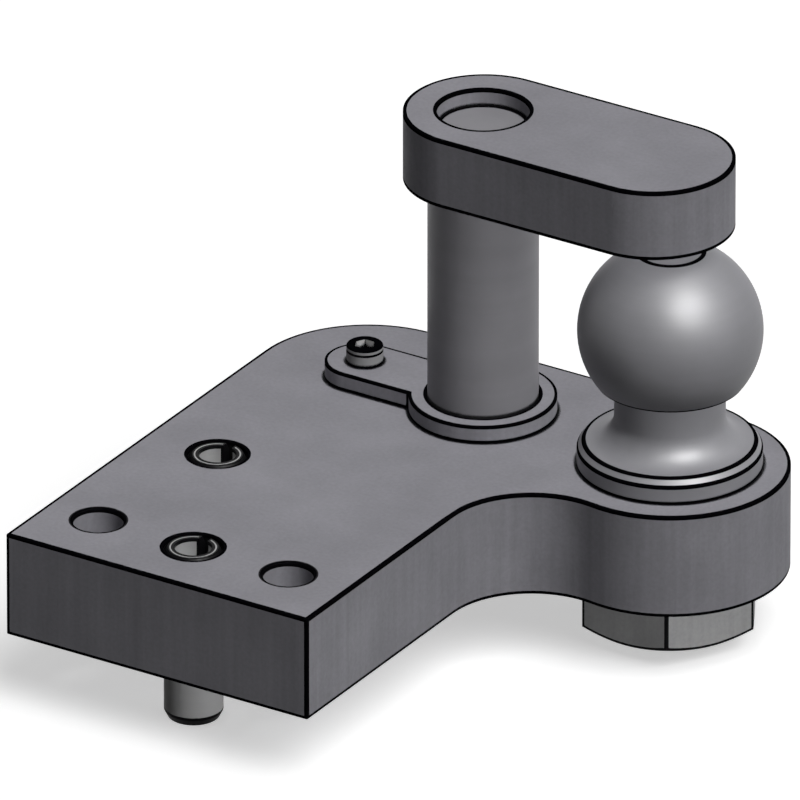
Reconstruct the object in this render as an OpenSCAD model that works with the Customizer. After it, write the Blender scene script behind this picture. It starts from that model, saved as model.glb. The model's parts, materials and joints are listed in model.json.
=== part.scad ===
// Bolt-on coupling ball plate with a swinging hold-down, right-hand version.
//
// The plate lies flat with +Z up.  The origin is on its underside, half way
// between the two fixing bolts.  +X runs along the bolt line towards the ball
// side, and +Y runs from the bolts towards the ball.

/* [Base plate] */
// Thickness of the plate
plate_t = 30; // [20:0.5:40]
// Distance between the two fixing bolts
bolt_spacing = 60; // [56:0.5:64]
// Diameter of each fixing bolt hole
bolt_hole_d = 13.5; // [9:0.5:15]
// From the left bolt to the plain side of the plate
plain_side_margin = 16.5; // [12:0.5:24]
// From the right bolt to the ball side of the plate
ball_side_margin = 18.5; // [12:0.5:22]
// From the bolt line to the sawn front edge
front_margin = 20; // [14:0.5:30]
// From the bolt line to the line through the post and the ball
reach = 110; // [100:1:130]
// Diameter of the round boss under the ball
boss_d = 65; // [62:0.5:72]
// Radius of the hollow curve that runs into the boss
throat_r = 24.5; // [18:0.5:27]
// Radius of the back corner on the plain side
back_corner_r = 32.5; // [10:0.5:32.5]

/* [Dowel sleeves] */
// Outer diameter of the slotted dowel sleeves
sleeve_d = 16; // [12:0.5:17]
// Wall of the rolled sleeve
sleeve_wall = 3; // [1.5:0.25:4]
// Width of the slot along the sleeve
sleeve_slot = 2.5; // [1:0.25:4]
// How far the sleeves stand out below the plate
sleeve_stand_out = 20; // [19:0.5:26]
// Length of the lead-in taper at each end of a sleeve
sleeve_lead = 2; // [1:0.25:3]
// How far the rear sleeve lies towards the plain side
rear_sleeve_x = -24; // [-30:0.5:-20]
// How far the rear sleeve lies behind the bolt line
rear_sleeve_y = 50; // [36:0.5:60]

/* [Ball] */
// From the bolts' centre line to the ball, along the bolt line
ball_x = 81.5; // [80:0.5:84]
// Diameter of the coupling ball
ball_d = 50; // [48:0.5:51]
// Height of the ball's centre above the plate
ball_h = 40; // [38:0.5:42]
// Diameter of the flat on top of the ball
ball_flat_d = 18; // [10:0.5:22]
// Diameter of the flat underside of the ball, where it meets the neck
ball_base_d = 40; // [36:0.5:42]
// Diameter of the neck, the shank and its thread
neck_d = 30; // [27:0.5:32]
// Diameter of the collar that sits on the plate
ball_collar_d = 50; // [48:0.5:52]
// Height of the collar's straight wall
ball_collar_wall = 5; // [3:0.25:7]
// Height of the rounded shoulder above that wall
ball_shoulder = 2.3; // [1.5:0.1:3]
// Radius of the hollow between the neck and the shoulder
neck_fillet_r = 7.5; // [5:0.25:8]

/* [Ball nut] */
// Width of the nut across its flats
nut_af = 46; // [42:0.5:50]
// Height of the thin nut
nut_h = 15; // [12:0.5:16]
// How far the shank comes out of the nut
shank_proud = 3; // [1:0.25:3]

/* [Hold-down] */
// From the bolts' centre line to the post, along the bolt line
post_x = 22.5; // [20:0.5:24]
// Diameter of the post
post_d = 30; // [26:0.5:31]
// Height of the arm's underside above the plate
arm_h = 70; // [68:0.5:80]
// Thickness of the arm
arm_t = 20; // [14:0.5:26]
// Width of the arm, which is also the diameter of its round ends
arm_w = 44; // [40:0.5:50]
// From the post to the centre of the arm's far end
arm_reach = 53.5; // [48:0.5:60]
// From the post back to the arm's near end
arm_tail = 21.5; // [20:0.5:26]
// Diameter of the post's spigot inside the arm
spigot_d = 25; // [20:0.5:26]
// How deep the spigot ends below the arm's top face
spigot_recess = 5; // [2:0.5:8]
// Diameter of the collar that keeps the post in the plate
post_collar_d = 36; // [34:0.5:37]
// Thickness of that collar
post_collar_t = 6; // [4:0.5:10]

/* [Retaining plate] */
// Thickness of the retaining plate
keeper_t = 5; // [4:0.5:8]
// Outer diameter of the ring round the post
keeper_ring_d = 40; // [39.5:0.5:44]
// Width of the tail that holds the screw
keeper_tail_w = 20; // [14:0.5:24]
// From the post to the centre of the tail's round end
keeper_tail_len = 38.5; // [36:0.5:44]
// From the post to the screw
screw_offset = 37.5; // [36:0.5:40]

/* [Retaining screw] */
// Thread diameter of the cap screw
screw_d = 6; // [5:0.5:7]
// Diameter of the screw's head
screw_head_d = 10; // [9:0.5:12]
// Height of the screw's head
screw_head_h = 5; // [4.5:0.25:8]
// Height of the band round the head, up to its groove
screw_band_h = 3.4; // [2:0.1:3.5]
// Width of the hexagon socket across its flats
screw_socket_af = 5; // [3:0.25:6]
// Length of the screw below its head
screw_len = 18; // [12:0.5:24]

/* [Hidden] */
$fn = 96;

// Clearances, each on the radius
fixed_fit = 0.02;
running_fit = 0.05;
loose_fit = 0.3;
// Room left above the post's collar
collar_lift = 0.1;
// Height of the post's foot above the underside of the plate
post_foot_rise = 1;
// Chamfers on turned ends and bore mouths
edge_chamfer = 1;
nut_chamfer_angle = 30;
// How far the shoulder of the ball's collar leans in
collar_shoulder_inset = 1.7;
// Room left below the end of the retaining screw
screw_hole_spare = 3;
// Width and depth of the groove round the screw's head
screw_groove = 0.25;
// Chamfer round the top of the screw's head
screw_rim = 0.3;
// Length by which a cut runs past the face that it opens
past = 1;

bolt_x = bolt_spacing / 2;
plain_side_x = -bolt_x - plain_side_margin;
ball_side_x = bolt_x + ball_side_margin;
boss_r = boss_d / 2;
back_y = reach + boss_r;
sleeve_len = plate_t + sleeve_stand_out;
screw_x = post_x - screw_offset;
keeper_tail_x = post_x - keeper_tail_len;
throat_x = ball_side_x + throat_r;
throat_y = reach - sqrt(pow(boss_r + throat_r, 2) - pow(throat_x - ball_x, 2));

// ---- Base plate -----------------------------------------------------------

// The web between the straight side and the boss, up to the post-ball line.
module throat_web() {
    difference() {
        polygon([[ball_side_x - past, throat_y], [throat_x, throat_y], [ball_x, reach],
                 [ball_side_x - past, reach]]);
        translate([throat_x, throat_y]) circle(r = throat_r);
    }
}

// The plain side, straight along the front and rounded at the back corner.
module plate_blank() {
    straight_y = back_y - back_corner_r;
    translate([plain_side_x, -front_margin])
        square([ball_side_x - plain_side_x, straight_y + front_margin]);
    translate([plain_side_x + back_corner_r, straight_y - past])
        square([ball_x - plain_side_x - back_corner_r, back_corner_r + past]);
    translate([plain_side_x + back_corner_r, straight_y]) circle(r = back_corner_r);
}

module plate_outline() {
    plate_blank();
    throat_web();
    translate([ball_x, reach]) circle(r = boss_r);
}

// A bore through the plate, with a small chamfer at both mouths.
module chamfered_bore(d, chamfer) {
    translate([0, 0, -past]) cylinder(d = d, h = plate_t + 2 * past);
    translate([0, 0, plate_t - chamfer])
        cylinder(d1 = d, d2 = d + 2 * (chamfer + past), h = chamfer + past);
    translate([0, 0, -past])
        cylinder(d1 = d + 2 * (chamfer + past), d2 = d, h = chamfer + past);
}

module base_plate() {
    seat_depth = post_collar_t + collar_lift;
    screw_depth = screw_len - keeper_t + screw_hole_spare;
    color("dimgray") difference() {
        linear_extrude(plate_t) plate_outline();
        for (side = [-1, 1])
            translate([side * bolt_x, 0, 0]) chamfered_bore(bolt_hole_d, edge_chamfer / 2);
        for (spot = [[0, 0], [rear_sleeve_x, rear_sleeve_y]])
            translate([spot[0], spot[1], -past])
                cylinder(d = sleeve_d + 2 * fixed_fit, h = plate_t + 2 * past);
        translate([ball_x, reach, -past])
            cylinder(d = neck_d + 2 * fixed_fit, h = plate_t + 2 * past);
        translate([post_x, reach, -past])
            cylinder(d = post_d + 2 * running_fit, h = plate_t + 2 * past);
        translate([post_x, reach, plate_t - seat_depth])
            cylinder(d = post_collar_d + 2 * loose_fit, h = seat_depth + past);
        translate([screw_x, reach, plate_t - screw_depth])
            cylinder(d = screw_d + 2 * fixed_fit, h = screw_depth + past);
    }
}

// ---- Dowel sleeves --------------------------------------------------------

// A spring steel strip rolled into a C, with its slot facing +Y.
module dowel_sleeve() {
    outer_r = sleeve_d / 2;
    bore_r = outer_r - sleeve_wall;
    tip_r = outer_r - sleeve_wall / 3;
    difference() {
        rotate_extrude()
            polygon([[bore_r, 0], [tip_r, 0], [outer_r, sleeve_lead], [outer_r, sleeve_len - sleeve_lead],
                     [tip_r, sleeve_len], [bore_r, sleeve_len]]);
        translate([-sleeve_slot / 2, 0, -past])
            cube([sleeve_slot, outer_r + past, sleeve_len + 2 * past]);
    }
}

module front_dowel_sleeve() {
    color("darkgray") translate([0, 0, -sleeve_stand_out]) dowel_sleeve();
}

module rear_dowel_sleeve() {
    color("darkgray") translate([rear_sleeve_x, rear_sleeve_y, -sleeve_stand_out]) dowel_sleeve();
}

// ---- Ball stud and nut ----------------------------------------------------

// The flare from the neck down to the shoulder of the collar.
module neck_flare(top_z) {
    difference() {
        translate([0, 0, top_z]) cylinder(r = neck_d / 2 + neck_fillet_r, h = neck_fillet_r);
        rotate_extrude() translate([neck_d / 2 + neck_fillet_r, top_z + neck_fillet_r])
            circle(r = neck_fillet_r);
    }
}

module coupling_ball_stud() {
    neck_r = neck_d / 2;
    base_drop = sqrt(pow(ball_d / 2, 2) - pow(ball_base_d / 2, 2));
    flat_rise = sqrt(pow(ball_d / 2, 2) - pow(ball_flat_d / 2, 2));
    shoulder_z = ball_collar_wall + ball_shoulder;
    shank_len = plate_t + nut_h + shank_proud;
    color("gray") translate([ball_x, reach, plate_t]) {
        intersection() {
            translate([0, 0, ball_h]) sphere(d = ball_d);
            translate([0, 0, ball_h - base_drop])
                cylinder(d = ball_d + 2 * past, h = base_drop + flat_rise);
        }
        cylinder(r = neck_r, h = ball_h - base_drop);
        neck_flare(shoulder_z);
        cylinder(d = ball_collar_d, h = ball_collar_wall);
        translate([0, 0, ball_collar_wall])
            cylinder(d1 = ball_collar_d, d2 = ball_collar_d - 2 * collar_shoulder_inset, h = ball_shoulder);
        translate([0, 0, -shank_len]) {
            cylinder(r1 = neck_r - edge_chamfer, r2 = neck_r, h = edge_chamfer);
            translate([0, 0, edge_chamfer]) cylinder(r = neck_r, h = shank_len - edge_chamfer);
        }
    }
}

// A cone that trims a hexagon's corners at the lower end of the nut.
module corner_trim(flat_d, h) {
    corner_r = flat_d / 2 / cos(30);
    rise = (corner_r + past - flat_d / 2) * tan(nut_chamfer_angle);
    cylinder(r1 = flat_d / 2, r2 = corner_r + past, h = rise);
    translate([0, 0, rise]) cylinder(r = corner_r + past, h = h);
}

module ball_nut() {
    color("silver") translate([ball_x, reach, -nut_h]) difference() {
        intersection() {
            cylinder(r = nut_af / 2 / cos(30), h = nut_h, $fn = 6);
            corner_trim(nut_af, nut_h);
        }
        translate([0, 0, -past]) cylinder(d = neck_d + 2 * fixed_fit, h = nut_h + 2 * past);
        translate([0, 0, -past])
            cylinder(d1 = neck_d + 2 * (edge_chamfer + past), d2 = neck_d, h = edge_chamfer + past);
    }
}

// ---- Hold-down ------------------------------------------------------------

module hold_down_post() {
    foot_z = post_foot_rise;
    collar_z = plate_t - collar_lift - post_collar_t;
    shoulder_z = plate_t + arm_h;
    spigot_len = arm_t - spigot_recess;
    color("gray") translate([post_x, reach, 0]) {
        translate([0, 0, foot_z])
            cylinder(d1 = post_d - 2 * edge_chamfer, d2 = post_d, h = edge_chamfer);
        translate([0, 0, foot_z + edge_chamfer])
            cylinder(d = post_d, h = shoulder_z - foot_z - edge_chamfer);
        translate([0, 0, collar_z]) cylinder(d = post_collar_d, h = post_collar_t);
        translate([0, 0, shoulder_z]) cylinder(d = spigot_d, h = spigot_len);
    }
}

// A flat bar with round ends, burnt out of plate.
module arm_outline() {
    near_x = arm_w / 2 - arm_tail;
    translate([near_x, 0]) circle(d = arm_w);
    translate([arm_reach, 0]) circle(d = arm_w);
    translate([near_x, -arm_w / 2]) square([arm_reach - near_x, arm_w]);
}

module hold_down_arm() {
    color("dimgray") translate([post_x, reach, plate_t + arm_h]) difference() {
        linear_extrude(arm_t) arm_outline();
        translate([0, 0, -past]) cylinder(d = spigot_d + 2 * fixed_fit, h = arm_t + 2 * past);
    }
}

// ---- Retaining plate and screw --------------------------------------------

module keeper_outline() {
    translate([post_x, reach]) circle(d = keeper_ring_d);
    translate([keeper_tail_x, reach]) circle(d = keeper_tail_w);
    translate([keeper_tail_x, reach - keeper_tail_w / 2])
        square([post_x - keeper_tail_x, keeper_tail_w]);
}

module retaining_plate() {
    color("gray") translate([0, 0, plate_t]) difference() {
        linear_extrude(keeper_t) keeper_outline();
        translate([post_x, reach, -past])
            cylinder(d = post_d + 2 * loose_fit, h = keeper_t + 2 * past);
        translate([screw_x, reach, -past])
            cylinder(d = screw_d + 2 * loose_fit, h = keeper_t + 2 * past);
    }
}

module retaining_screw() {
    head_r = screw_head_d / 2;
    tip = edge_chamfer / 2;
    rim_z = screw_head_h - screw_rim;
    socket_depth = screw_head_h / 2;
    color("dimgray") translate([screw_x, reach, plate_t + keeper_t]) {
        difference() {
            union() {
                cylinder(r = head_r, h = screw_band_h);
                cylinder(r = head_r - screw_groove, h = rim_z);
                translate([0, 0, screw_band_h + screw_groove])
                    cylinder(r = head_r, h = rim_z - screw_band_h - screw_groove);
                translate([0, 0, rim_z]) cylinder(r1 = head_r, r2 = head_r - screw_rim, h = screw_rim);
            }
            translate([0, 0, screw_head_h - socket_depth])
                cylinder(d = screw_socket_af / cos(30), h = socket_depth + past, $fn = 6);
        }
        translate([0, 0, -screw_len]) {
            cylinder(d1 = screw_d - 2 * tip, d2 = screw_d, h = tip);
            translate([0, 0, tip]) cylinder(d = screw_d, h = screw_len - tip);
        }
    }
}

base_plate();
front_dowel_sleeve();
rear_dowel_sleeve();
coupling_ball_stud();
ball_nut();
hold_down_post();
hold_down_arm();
retaining_plate();
retaining_screw();
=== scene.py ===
import json
import math

import bpy
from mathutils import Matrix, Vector


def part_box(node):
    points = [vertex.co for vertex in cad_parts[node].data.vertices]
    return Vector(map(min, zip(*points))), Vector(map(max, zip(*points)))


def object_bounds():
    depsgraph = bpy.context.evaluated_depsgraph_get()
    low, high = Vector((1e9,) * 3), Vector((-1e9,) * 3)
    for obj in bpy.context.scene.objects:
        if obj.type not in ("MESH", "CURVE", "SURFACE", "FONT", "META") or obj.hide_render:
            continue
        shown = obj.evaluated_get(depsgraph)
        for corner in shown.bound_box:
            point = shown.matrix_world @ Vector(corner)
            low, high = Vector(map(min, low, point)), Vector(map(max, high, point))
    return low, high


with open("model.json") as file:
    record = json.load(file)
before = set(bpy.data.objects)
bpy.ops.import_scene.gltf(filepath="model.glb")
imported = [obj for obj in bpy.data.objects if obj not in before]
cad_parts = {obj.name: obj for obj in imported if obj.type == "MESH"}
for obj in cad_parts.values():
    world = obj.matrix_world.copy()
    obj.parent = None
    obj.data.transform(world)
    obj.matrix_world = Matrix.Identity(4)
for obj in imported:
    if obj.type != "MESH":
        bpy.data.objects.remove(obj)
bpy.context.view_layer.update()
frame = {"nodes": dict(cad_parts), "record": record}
nodes = frame["nodes"]
mm = 0.001

# ---- Base plate -----------------------------------------------------------
# A 30 mm steel plate, flame-cut to its outline, drilled and bored.  Its two
# faces keep their grey rolled skin, the cut edge shows fine upright drag
# lines, and a phosphate bath has left it all dark grey, darkest at the arris.

plate_grey = (0.218, 0.215, 0.235, 1)
# Near black for the edge lines, and for the painted shade in the seams and the sleeves' bores.
arris_and_shade_black = (0.0015, 0.0015, 0.002, 1)
line_w = 1.0 * mm
seam_shade_w = 1.6 * mm
broken_w = 0.12 * mm
# The turn from one face to the next, in degrees, that makes an edge sharp.
# A square edge turns further than a 45 degree chamfer does.
sharp_edge = 28
square_edge = 50
# Segments and profile of an edge split into two flat strips, or rounded
flat_strips = (2, 1.0)
rounded = (3, 0.5)


def add(material, kind, **settings):
    """Adds a shader node; a setting is a property, and a key such as in_3 is a socket."""
    node = material.node_tree.nodes.new("ShaderNode" + kind)
    for key, value in settings.items():
        if key.startswith("in_"):
            socket = node.inputs[int(key[3:])]
            if isinstance(value, bpy.types.NodeSocket):
                material.node_tree.links.new(value, socket)
            else:
                socket.default_value = value
        else:
            setattr(node, key, value)
    return node


def maths(material, operation, first, second=0.0, third=0.0):
    """One sum, comparison or other operation on up to three values."""
    node = add(material, "Math", operation=operation, in_0=first, in_1=second, in_2=third)
    return node.outputs[0]


def ramp(material, value, low, high, to_low=0.0, to_high=1.0):
    """Maps a value from one range to another and holds it at the ends."""
    return add(material, "MapRange", in_0=value, in_1=low, in_2=high, in_3=to_low, in_4=to_high).outputs[0]


def speckle(material, place, scale, detail, stretch=(1, 1, 1)):
    """Noise from 0 to 1 in the piece's own frame, stretched along its axes."""
    fineness = 0.55
    stretched = add(material, "Mapping", in_0=place, in_3=stretch).outputs[0]
    noise = add(material, "TexNoise", in_0=stretched, in_2=scale, in_3=detail, in_4=fineness)
    return noise.outputs[0]


def spread(material, noise, low, high):
    """Spreads noise from low to high.  Most of it lies between 0.3 and 0.7."""
    return ramp(material, noise, 0.3, 0.7, low, high)


def blend_colour(material, factor, first, second, mode="MIX"):
    """The first colour blended into the second by the factor.  MULTIPLY multiplies the two."""
    node = add(material, "Mix", data_type="RGBA", blend_type=mode)
    tree = material.node_tree
    for socket, value in ((node.inputs[0], factor), (node.inputs[6], first), (node.inputs[7], second)):
        if isinstance(value, bpy.types.NodeSocket):
            tree.links.new(value, socket)
        else:
            socket.default_value = value
    return node.outputs[2]


def tinted(material, base, tone):
    """The base colour times a grey tone of about 1."""
    grey = add(material, "CombineColor", in_0=tone, in_1=tone, in_2=tone).outputs[0]
    return blend_colour(material, 1.0, base, grey, "MULTIPLY")


def painted_seam_shade(material):
    """1 in the corner where two faces or two pieces meet, 0 a little way off: painted shade, read from how
    much of the open sky is hidden there.
    """
    open_share, closed_share = 0.86, 0.76
    open_sky = add(material, "AmbientOcclusion", samples=8, in_1=seam_shade_w)
    return ramp(material, open_sky.outputs[1], open_share, closed_share)


def bare_finish(name, specular):
    """A new material with its shader, and the place on the piece in metres."""
    material = bpy.data.materials.new(name)
    material.use_nodes = True
    shader = material.node_tree.nodes["Principled BSDF"]
    shader.inputs["Specular IOR Level"].default_value = specular
    place = add(material, "TexCoord").outputs["Object"]
    return material, shader, place


def finish_steel(material, shader, colour, roughness, height, depth):
    """Joins the colour, the roughness and the relief (in metres) to the shader."""
    bump = add(material, "Bump", in_0=1.0, in_1=depth)
    link = material.node_tree.links.new
    link(height, bump.inputs["Height"])
    link(bump.outputs[0], shader.inputs["Normal"])
    link(colour, shader.inputs["Base Color"])
    link(roughness, shader.inputs["Roughness"])


def levelness(material):
    """1 on level faces and 0 on upright ones."""
    turn = add(material, "SeparateXYZ", in_0=add(material, "NewGeometry").outputs["True Normal"])
    return maths(material, "ABSOLUTE", turn.outputs[2])


def apart(material, first, second):
    """The distance between two values."""
    return maths(material, "ABSOLUTE", maths(material, "SUBTRACT", first, second))


def cut_plate_steel(name, base, paint=None):
    """Phosphated rolled plate: clouded faces, drag lines on the sides, black chamfers and painted shade in
    the seams.
    """
    material, shader, place = bare_finish(name, specular=0.03)
    clouds = speckle(material, place, scale=38, detail=5)
    grain = speckle(material, place, scale=900, detail=3)
    tone = spread(material, clouds, 0.90, 1.08)
    tone = maths(material, "MULTIPLY", tone, spread(material, grain, 0.95, 1.05))
    turn = add(material, "SeparateXYZ", in_0=add(material, "TexCoord").outputs["Normal"])
    side = ramp(material, maths(material, "ABSOLUTE", turn.outputs[2]), low=0.6, high=0.4)
    lines = speckle(material, place, scale=420, detail=3, stretch=(1, 1, 0.035))
    lines_change = maths(material, "SUBTRACT", spread(material, lines, 0.93, 1.05), 1.0)
    lines_change = maths(material, "MULTIPLY", side, lines_change)
    tone = maths(material, "MULTIPLY", tone, maths(material, "ADD", lines_change, 1.0))
    colour = tinted(material, base, tone)
    level = levelness(material)
    off_upright = ramp(material, level, low=0.2, high=0.3)
    off_level = ramp(material, level, low=0.97, high=0.9)
    slanted = maths(material, "MULTIPLY", off_upright, off_level)
    # Black on the chamfers, and painted shade in the corners where faces or pieces meet.
    dark = maths(material, "MAXIMUM", slanted, painted_seam_shade(material))
    colour = blend_colour(material, dark, colour, arris_and_shade_black)
    if paint:
        colour = paint(material, colour, place)
    roughness = spread(material, clouds, 0.62, 0.5)
    grain_share = 0.35
    grain_relief = maths(material, "MULTIPLY", grain, grain_share)
    relief = maths(material, "ADD", grain_relief, maths(material, "MULTIPLY", side, lines))
    finish_steel(material, shader, colour, roughness, relief, depth=0.05 * mm)
    return material


def arris_steel():
    """The black line that the phosphate bath leaves along a broken edge."""
    material, shader, place = bare_finish("arris_black", specular=0.0)
    grain = speckle(material, place, scale=700, detail=3)
    colour = tinted(material, arris_and_shade_black, spread(material, grain, 0.6, 1.5))
    roughness = spread(material, grain, 0.5, 0.65)
    finish_steel(material, shader, colour, roughness, grain, depth=0.02 * mm)
    return material


arris_black = arris_steel()


def black_edges(piece, name, width, shape, sharp):
    """Splits or rounds the sharp edges of a piece, and gives them its last material."""
    bevel = piece.modifiers.new(name, "BEVEL")
    bevel.width = width
    bevel.segments, bevel.profile = shape
    bevel.limit_method = "ANGLE"
    bevel.angle_limit = math.radians(sharp)
    bevel.use_clamp_overlap = False
    bevel.material = len(piece.material_slots) - 1


def dress(piece, material, line=line_w, sharp=sharp_edge, broken=broken_w, broken_sharp=None,
          slight_line=0, slight_sharp=0):
    """Gives a piece its finish, and black, finely rounded edges.

    line is the width of the black strip on each side of a sharp edge, and 0 leaves it out.
    slight_line is the same from slight_sharp on, for blunter edges.  broken is the width of
    the rounding, from broken_sharp on where that differs from sharp.
    """
    for holder in piece.material_slots:
        holder.material = material
    piece.data.materials.append(arris_black)
    weld = piece.modifiers.new("weld", "WELD")
    weld.merge_threshold = 0.001 * mm
    flat = piece.modifiers.new("flat", "DECIMATE")
    flat.decimate_type = "DISSOLVE"
    flat.angle_limit = math.radians(0.5)
    if line:
        black_edges(piece, "lines", line, flat_strips, sharp)
    if slight_line:
        black_edges(piece, "slight_lines", slight_line, flat_strips, slight_sharp)
    black_edges(piece, "edges", broken, rounded, broken_sharp or sharp)
    normals = piece.modifiers.new("normals", "WEIGHTED_NORMAL")
    normals.keep_sharp = False
    normals.weight = 100


bolts = frame["record"]["mounts"][0]["dims"]
mouth_ring = 1.25 * mm
mouth_depth = 1.2 * mm
plate_broken_w = 0.34 * mm
plate_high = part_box("base_plate")[1]
sleeves = ("front_dowel_sleeve", "rear_dowel_sleeve")


def about(material, place, axis):
    """The place measured from an upright axis, and its distance from that axis."""
    away = add(material, "VectorMath", operation="SUBTRACT", in_0=place, in_1=axis).outputs[0]
    flat = add(material, "VectorMath", operation="MULTIPLY", in_0=away, in_1=(1, 1, 0)).outputs[0]
    return away, add(material, "VectorMath", operation="LENGTH", in_0=flat).outputs[1]


def disc(material, place, centre_x, centre_y, radius):
    """1 inside an upright cylinder about a hole's axis, 0 outside it."""
    distance = about(material, place, (centre_x, centre_y, 0))[1]
    return maths(material, "LESS_THAN", distance, radius)


def black_mouths_shaded_bores(material, colour, place):
    """Blackens the mouths of the bolt holes, and paints shade in the sleeves' bores from end to end."""
    axes = add(material, "SeparateXYZ", in_0=place)
    middle = plate_high.z / 2
    depth = maths(material, "SUBTRACT", middle, apart(material, axes.outputs[2], middle))
    near_face = maths(material, "LESS_THAN", depth, mouth_depth)
    bolt_x = bolts["spacing_x_mm"] / 2 * mm
    mouth_r = bolts["hole_r_mm"] * mm + mouth_ring
    mask = 0.0
    for side in (-1, 1):
        mouth = disc(material, place, side * bolt_x, 0.0, mouth_r)
        mask = maths(material, "MAXIMUM", mask, maths(material, "MULTIPLY", mouth, near_face))
    # The sleeves' bores show only through the slots, and are painted black all through as painted shade.
    for sleeve in sleeves:
        low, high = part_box(sleeve)
        bore_r = (high.x - low.x) / 2 + broken_w
        shaded_bore = disc(material, place, (low.x + high.x) / 2, (low.y + high.y) / 2, bore_r)
        mask = maths(material, "MAXIMUM", mask, shaded_bore)
    return blend_colour(material, mask, colour, arris_and_shade_black)


dress(nodes["base_plate"], cut_plate_steel("plate_steel_finish", plate_grey, black_mouths_shaded_bores),
      sharp=square_edge, broken=plate_broken_w, broken_sharp=sharp_edge)

# ---- Dowel sleeves --------------------------------------------------------
# Two rolled spring steel sleeves with a slot along each, driven in flush with
# the top of the plate.  They are oiled grey, and black at the rims and slots.

sleeve_grey = (0.33, 0.33, 0.332, 1)
sleeve_wall = 3 * mm
sleeve_slot = 2.5 * mm
sleeve_lead = 2 * mm
lead_inset = sleeve_wall / 3
rim_w = 0.95 * mm
tip_rim_w = 0.65 * mm
sleeve_sharp = 20


def turned_steel(name, base, node, rough, specular, paint=None):
    """Turned round its node's upright axis: fine rings left by the tool, soft blotches of oil."""
    material, shader, place = bare_finish(name, specular=specular)
    low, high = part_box(node)
    away, radius = about(material, place, ((low.x + high.x) / 2, (low.y + high.y) / 2, 0))
    height = add(material, "SeparateXYZ", in_0=away).outputs[2]
    across = add(material, "CombineXYZ", in_0=radius, in_1=0.0, in_2=height).outputs[0]
    rings = speckle(material, across, scale=2600, detail=2)
    bands = speckle(material, across, scale=160, detail=3)
    blotches = speckle(material, place, scale=45, detail=4)
    tone = spread(material, blotches, 0.93, 1.06)
    tone = maths(material, "MULTIPLY", tone, spread(material, bands, 0.96, 1.03))
    colour = tinted(material, base, tone)
    if paint:
        colour = paint(material, colour, away, radius)
    # Painted shade in the corners where faces meet or where the piece meets another.
    colour = blend_colour(material, painted_seam_shade(material), colour, arris_and_shade_black)
    roughness = spread(material, blotches, rough[0], rough[1])
    finish_steel(material, shader, colour, roughness, rings, depth=0.012 * mm)
    return material


def not_upright(material):
    """1 on level and sloping faces, 0 on upright ones."""
    least_slope = 0.35
    return maths(material, "GREATER_THAN", levelness(material), least_slope)


def black_rims(material, colour, away, radius):
    """Blackens a sleeve at both rims of its bore, at its tapers and along its slot."""
    low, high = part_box("front_dowel_sleeve")
    outer_r = (high.x - low.x) / 2
    bore_r = outer_r - sleeve_wall
    tip_r = outer_r - lead_inset
    axes = add(material, "SeparateXYZ", in_0=away)
    from_middle = apart(material, axes.outputs[2], (low.z + high.z) / 2)
    depth = maths(material, "SUBTRACT", (high.z - low.z) / 2, from_middle)
    level = not_upright(material)
    by_bore = maths(material, "LESS_THAN", radius, bore_r + rim_w)
    by_tip = maths(material, "GREATER_THAN", radius, tip_r - tip_rim_w)
    on_end = maths(material, "MULTIPLY", level, maths(material, "MAXIMUM", by_bore, by_tip))
    reach = ramp(material, radius, bore_r + rim_w, tip_r, rim_w, sleeve_lead + tip_rim_w)
    on_wall = maths(material, "LESS_THAN", depth, reach)
    on_wall = maths(material, "MULTIPLY", maths(material, "SUBTRACT", 1.0, level), on_wall)
    slot_reach = sleeve_slot / 2 + tip_rim_w
    by_slot = maths(material, "LESS_THAN", maths(material, "ABSOLUTE", axes.outputs[0]), slot_reach)
    slot_side = maths(material, "GREATER_THAN", axes.outputs[1], 0.0)
    by_slot = maths(material, "MULTIPLY", by_slot, slot_side)
    mask = maths(material, "MAXIMUM", maths(material, "MAXIMUM", on_end, on_wall), by_slot)
    return blend_colour(material, mask, colour, arris_and_shade_black)


for name in sleeves:
    finish = turned_steel(name + "_finish", sleeve_grey, name, rough=(0.42, 0.52), specular=0.05,
                          paint=black_rims)
    dress(nodes[name], finish, line=0, sharp=sleeve_sharp)

# ---- Ball stud ------------------------------------------------------------
# Ball, neck, collar and shank are one forging, turned all over.  It is finished
# finer than the other pieces and oiled, so it takes a broad soft highlight.

ball_grey = (0.190, 0.189, 0.203, 1)
# A line has to be narrower than the flat ring on the collar, which is 0.8 mm
# wide, and a slight line than half the shank's chamfer, which is 1.4 mm wide.
ball_line_w = 0.74 * mm
ball_slight_line_w = 0.64 * mm
ball_slight_edge = 18
dress(nodes["coupling_ball_stud"],
      turned_steel("ball_steel_finish", ball_grey, "coupling_ball_stud", rough=(0.48, 0.54), specular=0.25),
      ball_line_w, sharp=square_edge, broken_sharp=ball_slight_edge,
      slight_line=ball_slight_line_w, slight_sharp=ball_slight_edge)

# ---- Ball nut -------------------------------------------------------------
# A thin M30 hexagon nut of dull grey steel, which holds the stud from below.
# Its lower corners are turned to a cone.

nut_grey = (0.33, 0.33, 0.332, 1)
nut_low, nut_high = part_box("ball_nut")
nut_line_w = 0.7 * mm
nut_broken_w = 0.03 * mm
nut_sharp = 45
half_flat_angle = math.radians(30)
cone_angle = math.radians(30)


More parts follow.
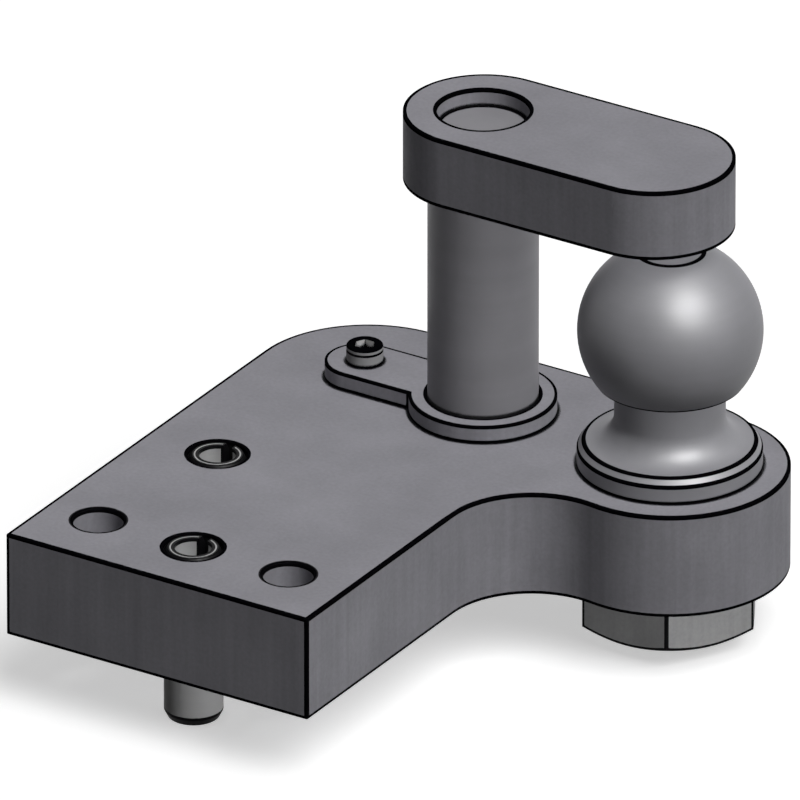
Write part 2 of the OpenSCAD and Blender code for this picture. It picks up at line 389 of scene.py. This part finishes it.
def black_corners(material, colour, place):
    """Blackens the nut's six upright corners and the curved lower edges of its flats."""
    flat_r = (nut_high.y - nut_low.y) / 2
    half_side = flat_r * math.tan(half_flat_angle)
    axis = ((nut_low.x + nut_high.x) / 2, (nut_low.y + nut_high.y) / 2, nut_low.z)
    away, radius = about(material, place, axis)
    height = add(material, "SeparateXYZ", in_0=away).outputs[2]
    corner = maths(material, "GREATER_THAN", radius, math.hypot(flat_r, half_side - nut_line_w))
    past_flat = maths(material, "SUBTRACT", radius, flat_r)
    rise = maths(material, "MULTIPLY", past_flat, math.tan(cone_angle))
    lower = maths(material, "LESS_THAN", height, maths(material, "ADD", rise, nut_line_w))
    outside = maths(material, "GREATER_THAN", radius, flat_r - nut_line_w)
    mask = maths(material, "MAXIMUM", corner, maths(material, "MULTIPLY", lower, outside))
    return blend_colour(material, mask, colour, arris_and_shade_black)


dress(nodes["ball_nut"], cut_plate_steel("nut_steel_finish", nut_grey, black_corners),
      line=0, sharp=nut_sharp, broken=nut_broken_w)

# ---- Post and arm ---------------------------------------------------------
# A turned post, and an arm cut from 20 mm bar with round ends.  The post's
# spigot is fixed in the arm's hole and ends 5 mm below the arm's top face.

post_grey = (0.197, 0.194, 0.207, 1)
arm_grey = (0.214, 0.211, 0.231, 1)
post_line_w = 0.8 * mm
dress(nodes["hold_down_post"],
      turned_steel("post_steel_finish", post_grey, "hold_down_post", rough=(0.44, 0.54), specular=0.15),
      post_line_w, sharp=square_edge, broken_sharp=sharp_edge)
dress(nodes["hold_down_arm"], cut_plate_steel("arm_steel_finish", arm_grey))

# ---- Retaining plate and its screw ----------------------------------------
# A 5 mm plate with a ring round the post and a tail, held by one cap screw.
# The screw is oiled grey, black on top and in its groove, with a painted highlight on the walls of its
# socket.

screw_grey = (0.24, 0.24, 0.243, 1)
# Light grey for the painted highlight on the socket's walls.
socket_highlight_grey = (0.45, 0.45, 0.45, 1)
keeper_line_w = 0.8 * mm
screw_broken_w = 0.1 * mm
socket_r = 2.9 * mm
groove_z = 3.5 * mm
groove_w = 0.35 * mm


def black_head_lit_socket(material, colour, away, radius):
    """Blackens the head's top and its groove, and paints a highlight on the socket's walls."""
    level = not_upright(material)
    seat_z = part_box("retaining_plate")[1].z
    height = maths(material, "SUBTRACT", add(material, "SeparateXYZ", in_0=away).outputs[2], seat_z)
    on_head = maths(material, "GREATER_THAN", height, 0.0)
    groove = maths(material, "COMPARE", height, groove_z, groove_w)
    black = maths(material, "MAXIMUM", maths(material, "MULTIPLY", level, on_head), groove)
    colour = blend_colour(material, black, colour, arris_and_shade_black)
    # A painted highlight on the socket's upright walls.
    socket_highlight = maths(material, "MULTIPLY", maths(material, "LESS_THAN", radius, socket_r), on_head)
    socket_highlight = maths(material, "MULTIPLY", maths(material, "SUBTRACT", 1.0, level), socket_highlight)
    return blend_colour(material, socket_highlight, colour, socket_highlight_grey)


dress(nodes["retaining_plate"], cut_plate_steel("keeper_steel_finish", plate_grey), keeper_line_w)
dress(nodes["retaining_screw"],
      turned_steel("screw_steel_finish", screw_grey, "retaining_screw", rough=(0.4, 0.5), specular=0.0,
                   paint=black_head_lit_socket),
      line=0, broken=screw_broken_w)

# ---- Floor, light and camera ----------------------------------------------
# A pale plain bench at the sleeves' tips.  The lamps are a soft key high on the
# ball's side, a softer one for the bench alone, one seen only in reflections
# and a low fill behind.  A far camera with a long lens keeps edges parallel.

# The bench looks white, and throws little light back on the part.
bench_white = (0.96, 0.96, 0.96, 1)
bounce_grey = (0.10, 0.10, 0.10, 1)
bench_glow = 0.5
floor_mesh = bpy.data.meshes.new("floor")
floor_half = 6.0
floor_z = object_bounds()[0][2]
corners = [(x * floor_half, y * floor_half, floor_z) for x, y in ((-1, -1), (1, -1), (1, 1), (-1, 1))]
floor_mesh.from_pydata(corners, [], [(0, 1, 2, 3)])
floor = bpy.data.objects.new("floor", floor_mesh)
bpy.context.scene.collection.objects.link(floor)
floor_finish, floor_shader = bare_finish("bench_white", specular=0.0)[:2]
floor_shader.inputs["Roughness"].default_value = 0.9
seen = add(floor_finish, "LightPath")
direct = maths(floor_finish, "MAXIMUM", seen.outputs["Is Camera Ray"], seen.outputs["Is Glossy Ray"])
floor_colour = blend_colour(floor_finish, direct, bounce_grey, bench_white)
floor_finish.node_tree.links.new(floor_colour, floor_shader.inputs["Base Color"])
floor_glow = maths(floor_finish, "MULTIPLY", direct, bench_glow)
floor_finish.node_tree.links.new(floor_glow, floor_shader.inputs["Emission Strength"])
floor_shader.inputs["Emission Color"].default_value = (1, 1, 1, 1)
floor_mesh.materials.append(floor_finish)

world = bpy.data.worlds.new("studio")
bpy.context.scene.world = world
world.use_nodes = True
ambient = 0.08
sky = world.node_tree.nodes["Background"]
path = add(world, "LightPath")
white_rays = maths(world, "MAXIMUM", path.outputs["Is Camera Ray"], path.outputs["Is Glossy Ray"])
white_rays = maths(world, "MAXIMUM", white_rays, path.outputs["Is Transmission Ray"])
strength = ramp(world, white_rays, 0.0, 1.0, ambient, 1.0)
world.node_tree.links.new(strength, sky.inputs["Strength"])
sky.inputs["Color"].default_value = (1, 1, 1, 1)


def softbox(name, power, degrees, lamp_from, shadows=False, bench_only=False):
    """A soft lamp as many degrees wide, on the bench alone or on all but the bench."""
    lamp = bpy.data.lights.new(name, "SUN")
    lamp.energy = power
    lamp.angle = math.radians(degrees)
    lamp.use_shadow = shadows
    holder = bpy.data.objects.new(name, lamp)
    holder.rotation_euler = Vector(lamp_from).to_track_quat("Z", "Y").to_euler()
    bpy.context.scene.collection.objects.link(holder)
    group = bpy.data.collections.new(name + "_group")
    group.objects.link(floor)
    group.collection_objects[0].light_linking.link_state = "INCLUDE" if bench_only else "EXCLUDE"
    holder.light_linking.receiver_collection = group
    return holder


key_from = (0.549, -0.141, 0.823)
softbox("key", power=3.6, degrees=20, lamp_from=key_from)
softbox("bench_lamp", power=2.0, degrees=50, lamp_from=key_from, shadows=True, bench_only=True)
highlight = softbox("highlight", power=25.0, degrees=32, lamp_from=(0.587, -0.26, 0.768), shadows=True)
highlight.visible_diffuse = False
back_fill = softbox("back_fill", power=1.8, degrees=20, lamp_from=(-0.53, 0.84, -0.12))
back_fill.visible_glossy = False

azimuth = math.radians(32.06)
elevation = math.radians(26.65)
toward_camera = Vector((math.sin(azimuth) * math.cos(elevation), -math.cos(azimuth) * math.cos(elevation),
                        math.sin(elevation)))
# Metres that the view takes in from left to right, and the point at its middle
frame_width = 0.2139
aim = Vector((0.0268, 0.0611, 0.055))
camera = bpy.data.cameras.new("camera")
camera.lens = 1500
camera.sensor_width = 36
camera.clip_end = 200
camera_object = bpy.data.objects.new("camera", camera)
camera_object.location = aim + toward_camera * (frame_width * camera.lens / camera.sensor_width)
camera_object.rotation_euler = toward_camera.to_track_quat("Z", "Y").to_euler()
bpy.context.scene.collection.objects.link(camera_object)
bpy.context.scene.camera = camera_object
bpy.context.scene.view_settings.view_transform = "Standard"
